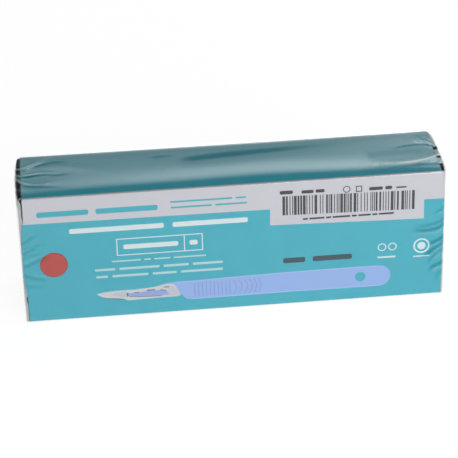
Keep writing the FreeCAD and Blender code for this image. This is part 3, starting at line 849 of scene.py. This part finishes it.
def filmPlaces(sx, tx, sy, ty, sz, tz):
    f = film
    side = np.where(sx < 0.5, -1.0, 1.0)
    span = f["endLeft"] + f["endRight"]
    roughX = -f["endLeft"] + sx * span
    turn = f["turnLeft"] + (f["turnRight"] - f["turnLeft"]) * sx
    nearEnd = smooth((np.abs(roughX) - f["widenFrom"]) / f["widenLength"])
    topRadius = f["edge"] + (turn - f["edge"]) * nearEnd
    endRadius = f["edge"] + (turn - f["edge"]) * smooth((sz - 0.8) / 0.2)
    innerX = roughX + endRadius * (1 - 2 * sx)
    innerY = -f["half"] + 2 * f["half"] * sy + f["edge"] * (1 - 2 * sy)
    innerZ = f["ceiling"] * sz + f["foot"] * (1 - sz) - topRadius * sz
    length = np.sqrt(tx ** 2 + ty ** 2 + tz ** 2)
    nx, ny, nz = tx / length, ty / length, tz / length
    x = innerX + nx * endRadius
    y = innerY + ny * f["edge"]
    z = innerZ + nz * np.where(tz > 0, topRadius, f["foot"])

    flat = f["half"] - f["edge"]
    onTop = smooth(nz * 1.4)
    inboard = np.where(side > 0, f["endRight"] - turn - innerX, innerX + f["endLeft"] - turn)
    inboard = np.maximum(inboard, 0.0)
    # bulge of the ends and the crown of the top
    reach = np.where(side < 0, f["bulgeLeft"], f["bulgeRight"])
    share = np.clip(z / (f["ceiling"] - turn), 0, 1)
    drawn = 1 - smooth(inboard / f["drawnLength"])
    full = 1 - np.clip(np.abs(y) / flat, 0, 1) ** f["bulgePower"]
    x = x + side * reach * share * full * drawn
    bow = (f["bowEndShare"] + (1 - f["bowEndShare"]) * bell(roughX - f["bowMiddle"], f["bowHalf"]))
    bow = bow * np.clip(1 - (roughX / 100) ** 4, 0, 1)
    crown = f["crown"] * (1 - np.clip(np.abs(y) / flat, 0, 1) ** f["crownPower"])
    crown = crown * (f["crownEndShare"] + (1 - f["crownEndShare"]) * smooth(inboard / f["crownLength"]))
    z = z + f["bow"] * bow * arch(y, flat) * onTop + crown * smooth(innerZ / 60) * smooth(sz * 50)

    # lifts along the surface
    edgeFade = smooth((flat + 0.4 - np.abs(innerY)) / 3.0)
    climb = np.arctan2(np.clip(nz, 0, 1), np.abs(nx) + 1e-9)
    out = innerZ - f["gatherLevel"] + turn * climb + inboard
    onEnd = smooth((np.abs(nx) + np.clip(nz, 0, 1)) * 1.5)
    leftLift, leftMilkyAndHighlit = gathered(leftGathers, out, innerY)
    rightLift, rightMilkyAndHighlit = gathered(rightGathers, out, innerY)
    upper = np.where(side < 0, leftLift, rightLift)
    milkyAndHighlit = np.where(side < 0, leftMilkyAndHighlit, rightMilkyAndHighlit) * onEnd * smooth(out / 3)
    endRise = np.where(side < 0, f["riseLeft"], f["riseRight"])
    endShare = endRise + (1 - endRise) * smooth((out - 12.5) / 4)
    lift = upper * edgeFade * onEnd * endShare * smooth(out / 3)
    endOnly = smooth(np.abs(nx) * 1.5) * (nz < 0.3)
    lower, lowMilkyAndHighlit = gathered(footGathers, f["footLevel"] - innerZ, innerY)
    seam = smooth((innerZ - f["footLevel"]) / 3) * smooth((f["gatherLevel"] - innerZ) / 3)
    fin = f["finHeight"] * seam * bell(innerY, f["finHalf"])
    lift = lift + (lower * smooth((f["footLevel"] - innerZ) / 3) + fin) * edgeFade * endOnly
    dark = np.zeros_like(x)
    for furrow in furrows:
        share = (roughX - furrow["left"]) / (furrow["right"] - furrow["left"])
        middle, half = (np.interp(share, (0.0, 0.33, 1.0), furrow[key]) for key in ("across", "half"))
        lens = smooth(share / 0.12) * (1 - smooth((share - 0.55) / 0.45)) * onTop
        lift = lift - furrow["depth"] * lens * bell(innerY - middle, 1.6 * half) * edgeFade
        # painted shade over each furrow
        dark = dark + furrow["dark"] * lens * (1 - smooth((np.abs(innerY - middle) / half - 0.3) / 0.8))
    for points, width, strength in topCreases:
        # painted shade along the creases in the top
        dark = dark + creaseShadeAlong(points, width, strength, roughX, innerY)[0] * onTop
    # short wrinkles that run in from the upright edges, on the front and the back, with painted shade on
    # their steep flank and a painted highlight beside them
    onSide = smooth((np.abs(ny) - 0.6) / 0.3)
    for points, height, width, strength in edgeCreases:
        shade, across, fade = creaseShadeAlong(points, width, strength, x, innerZ)
        # painted shade on the wrinkle's steep flank
        dark = dark + shade * onSide
        lift = lift + onSide * height * fade * bell(across - 0.8 * width, width)
        # a pale line beside each wrinkle, a painted highlight
        milkyAndHighlit = milkyAndHighlit + onSide * 0.3 * strength * fade * bell(across - 1.8 * width, 0.8 * width)
    # the right end's turn is a little milky, but not where the tuck gap below it stands open
    turned = smooth((x - 100.0) / 0.8) * smooth((z - 60.0) / 3.0)
    shut = np.ones_like(x)
    for low, high in openGaps:
        seen = y + f["seenShift"]
        shut = shut * (1 - smooth((seen - low) / 0.8 + 0.5) * (1 - smooth((seen - high) / 0.8 + 0.5)))
    openHere = (1 - shut) * smooth((x - 98.9) / 0.5) * (1 - smooth((x - 101.2) / 0.5))
    openHere = openHere * smooth((z - 60.0) / 3.0)
    milkyAndHighlit = np.maximum(milkyAndHighlit, f["turnHaze"] * turned) * (1 - openHere)
    # the film's reflection is painted out over the painted shade and the open gaps, and mostly over the
    # painted shade strip at the head of the left end
    shadeDull = np.maximum(dark, openHere)
    atStrip = smooth((-x - 100.0) / 0.5) * smooth((z - 61.0) / 1.2)
    shadeDull = np.maximum(shadeDull, f["stripShadeDull"] * atStrip * (1 - milkyAndHighlit))
    x = x + nx * lift
    y = y + ny * lift
    z = z + nz * lift
    milkyAndHighlit = np.clip(milkyAndHighlit + lowMilkyAndHighlit * endOnly, 0.0, 1.0)
    return (np.stack([x, y, np.maximum(z, 0.0)], axis=1), milkyAndHighlit, np.clip(dark, 0.0, 1.0),
            np.clip(shadeDull, 0.0, 1.0))


def makeFilm(material):
    f = film
    left, right = -f["endLeft"] + f["turnLeft"], f["endRight"] - f["turnRight"]
    xPlaces = (spread(left, left + f["fineLength"], f["fineStep"])
               + spread(left + f["fineLength"], right - f["fineLength"], f["coarseStep"])
               + spread(right - f["fineLength"], right, f["fineStep"]) + [right])
    flat = f["half"] - f["edge"]
    yPlaces = spread(-flat, flat, f["fineStep"]) + [flat]
    turnLevel = f["ceiling"] - f["turnLeft"]
    zPlaces = spread(f["foot"], turnLevel, f["upStep"]) + [turnLevel]
    xLines, yLines, zLines = axisLines(xPlaces), axisLines(yPlaces), axisLines(zPlaces)
    shape = (len(xLines), len(yLines), len(zLines))
    i, j, k = np.meshgrid(*[np.arange(n) for n in shape], indexing="ij")
    outer = ((i == 0) | (i == shape[0] - 1) | (j == 0) | (j == shape[1] - 1)
             | (k == 0) | (k == shape[2] - 1))
    number = np.full(shape, -1)
    number[outer] = np.arange(outer.sum())
    xs, ys, zs = (np.array(lines) for lines in (xLines, yLines, zLines))
    i, j, k = i[outer], j[outer], k[outer]
    points, milkyAndHighlit, dark, shadeDull = filmPlaces(xs[i, 0], xs[i, 1], ys[j, 0], ys[j, 1], zs[k, 0], zs[k, 1])

    def quads(grid, flip):
        a, b, c, d = grid[:-1, :-1], grid[1:, :-1], grid[1:, 1:], grid[:-1, 1:]
        stacked = np.stack([a, b, c, d], axis=-1).reshape(-1, 4)
        return stacked[:, ::-1] if flip else stacked

    faces = np.concatenate([
        quads(number[:, :, -1], False), quads(number[:, :, 0], True),
        quads(number[:, 0, :], False), quads(number[:, -1, :], True),
        quads(number[-1, :, :], False), quads(number[0, :, :], True)])
    mesh = bpy.data.meshes.new("shrink_film")
    mesh.from_pydata((points * mm).tolist(), [], faces.tolist())
    mesh.update()
    mesh.materials.append(material)
    for name, values in (("folded", milkyAndHighlit), ("creased", dark), ("dulled", shadeDull)):
        mesh.attributes.new(name, "FLOAT", "POINT").data.foreach_set("value", values.astype(np.float32))
    mesh.shade_smooth()
    skin = bpy.data.objects.new("shrink_film", mesh)
    bpy.context.scene.collection.objects.link(skin)
    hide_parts("film_wrap")
    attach(skin, "root")
    print("film skin", len(points), "points", len(faces), "faces")


makeFilm(makeShrinkFilm())


# Studio: pale floor, a broad soft light in front, a low soft strip behind

studio = {
    "floorSize": 6.0, "floorLevel": -0.05,
    "floorColour": "#f2f2f2",
    "openGlow": 0.9, "shadowShare": 0.24,   # how white the floor looks, and what the shadow takes from it
    "keyPlace": (0.42, -1.02, 0.36), "keyWidth": 0.7, "keyHeight": 0.4, "keyPower": 6.3,
}


def makeFloor():
    material, tree = newMaterial("paperFloor")
    path = addNode(tree, "LightPath")
    seen = addNode(tree, "Math", {"operation": "MAXIMUM"},
                   {0: path.outputs["Is Camera Ray"], 1: path.outputs["Is Glossy Ray"]})
    seenToo = addNode(tree, "Math", {"operation": "MAXIMUM"},
                      {0: seen.outputs[0], 1: path.outputs["Is Transmission Ray"]})
    place = addNode(tree, "TexCoord").outputs["Object"]
    grain = addNode(tree, "TexNoise", {"Scale": 900.0, "Detail": 3.0}, {"Vector": place})
    bump = addNode(tree, "Bump", {"Strength": 0.05, "Distance": 0.0001}, {"Height": grain.outputs["Fac"]})
    matt = addNode(tree, "BsdfDiffuse", {"Color": linearColour(studio["floorColour"])},
                   {"Normal": bump.outputs["Normal"]})
    glow = addNode(tree, "Emission", {"Color": grey(1.0), "Strength": studio["openGlow"]})
    shade = addNode(tree, "BsdfDiffuse", {"Color": grey(studio["shadowShare"])})
    pale = addNode(tree, "AddShader", links={0: glow.outputs[0], 1: shade.outputs[0]})
    mixed = addNode(tree, "MixShader",
                    links={0: seenToo.outputs[0], 1: matt.outputs[0], 2: pale.outputs[0]})
    addNode(tree, "OutputMaterial", links={"Surface": mixed.outputs[0]})
    mesh = bpy.data.meshes.new("floor")
    half, level = studio["floorSize"] / 2, studio["floorLevel"] * mm
    mesh.from_pydata([(-half, -half, level), (half, -half, level), (half, half, level), (-half, half, level)],
                     [], [(0, 1, 2, 3)])
    mesh.materials.append(material)
    floor = bpy.data.objects.new("floor", mesh)
    bpy.context.scene.collection.objects.link(floor)


def makeKey():
    # a soft box in front, low and to the right: it lights the printed front more than the top
    data = bpy.data.lights.new("keyLight", "AREA")
    data.shape = "RECTANGLE"
    data.size, data.size_y = studio["keyWidth"], studio["keyHeight"]
    data.energy = studio["keyPower"]
    key = bpy.data.objects.new("keyLight", data)
    key.location = studio["keyPlace"]
    aim = Vector((0, 0, 0.03)) - Vector(studio["keyPlace"])
    key.rotation_euler = aim.to_track_quat("-Z", "Y").to_euler()
    bpy.context.scene.collection.objects.link(key)


# Brightness of the room behind the carton by elevation in degrees: the open room and a soft strip.
# The film's top mirrors the stretch from 28 degrees up to its dark end above.
roomBehind = [(0, 0.75), (6, 0.7), (12, 0.38), (18, 0.32), (24, 0.44), (28, 0.5), (32, 0.5), (38, 0.3),
              (41, 0.06), (60, 0.05)]
stripBehind = [(0, 1.1), (5, 1.1), (11, 0.0), (26, 0.0), (29.5, 1.2), (32, 1.3), (36, 0.85), (39, 0.25),
               (41, 0.0), (60, 0.0)]
roomBefore = [(0, 0.6), (38, 0.6), (55, 0.15), (90, 0.08)]
# share of the open room and of the strip, by how far to the side the mirrored ray goes
roomAcross = [(-0.3, 0.12), (-0.03, 1.0), (0.13, 1.0), (0.17, 1.7), (0.3, 1.7)]
stripAcross = [(-0.3, 0.1), (-0.03, 0.2), (0.02, 0.5), (0.06, 0.85), (0.15, 1.05), (0.3, 1.1)]


def makeWorld():
    world = bpy.data.worlds.new("softRoom")
    bpy.context.scene.world = world
    world.use_nodes = True
    tree = world.node_tree
    tree.nodes.clear()
    direction = addNode(tree, "TexCoord").outputs["Generated"]
    axes = addNode(tree, "SeparateXYZ", links={0: direction})
    # the ramps hold half the brightness, so that they stay below 1, and reach this far to each side
    scale, sideReach = 0.5, 0.3
    ramps = []
    for stops in (roomBehind, stripBehind, roomBefore):
        placed = [(math.sin(math.radians(e)), grey(level * scale)) for e, level in stops]
        ramps.append(addNode(tree, "ValToRGB", {"stops": placed}, {0: axes.outputs["Z"]}))
        ramps[-1].color_ramp.interpolation = "EASE"
    toSide = addNode(tree, "MapRange", {"From Min": -sideReach, "From Max": sideReach},
                     {"Value": axes.outputs["X"]})
    shares = []
    for stops in (roomAcross, stripAcross):
        placed = [((side / sideReach + 1) / 2, grey(level * scale)) for side, level in stops]
        across = addNode(tree, "ValToRGB", {"stops": placed}, {0: toSide.outputs[0]})
        shares.append(addNode(tree, "Math", {"operation": "DIVIDE", 1: scale}, {0: across.outputs[0]}))
    openRoom = addNode(tree, "Mix", {"data_type": "RGBA", "clamp_factor": False, 6: grey(0.0)},
                       {0: shares[0].outputs[0], 7: ramps[0].outputs[0]})
    behind = addNode(tree, "Mix", {"data_type": "RGBA", "blend_type": "ADD", "clamp_factor": False},
                     {0: shares[1].outputs[0], 6: openRoom.outputs[2], 7: ramps[1].outputs[0]})
    backShare = addNode(tree, "MapRange",
                        {"interpolation_type": "SMOOTHSTEP", "From Min": -0.15, "From Max": 0.25},
                        {"Value": axes.outputs["Y"]})
    room = addNode(tree, "Mix", {"data_type": "RGBA"},
                   {0: backShare.outputs[0], 6: ramps[2].outputs[0], 7: behind.outputs[2]})
    light = addNode(tree, "Background", {"Strength": 1 / scale}, {"Color": room.outputs[2]})
    white = addNode(tree, "Background", {"Color": grey(1.0), "Strength": 1.0})
    path = addNode(tree, "LightPath")
    mixed = addNode(tree, "MixShader",
                    links={0: path.outputs["Is Camera Ray"], 1: light.outputs[0], 2: white.outputs[0]})
    addNode(tree, "OutputWorld", links={"Surface": mixed.outputs[0]})


camera = {
    "place": (-83.194, -911.408, 517.815),
    "right": (0.99449691, -0.10217799, -0.02314204),
    "down": (-0.06832971, -0.46515716, -0.88258703),
    "forward": (0.07941628, 0.87931137, -0.46957915),
    "lens": 166.75, "sensor": 36.0,
}


def makeCamera():
    data = bpy.data.cameras.new("camera")
    data.lens = camera["lens"]
    data.sensor_width = camera["sensor"]
    data.clip_start = 0.05
    lens = bpy.data.objects.new("camera", data)
    bpy.context.scene.collection.objects.link(lens)
    right, down, forward = (Vector(camera[key]) for key in ("right", "down", "forward"))
    turn = Matrix((right, -down, -forward)).transposed().to_4x4()
    lens.matrix_world = Matrix.Translation(Vector(camera["place"]) * mm) @ turn
    bpy.context.scene.camera = lens


makeFloor()
makeKey()
makeWorld()
makeCamera()
bpy.context.scene.view_settings.view_transform = "Standard"
print("studio ready")
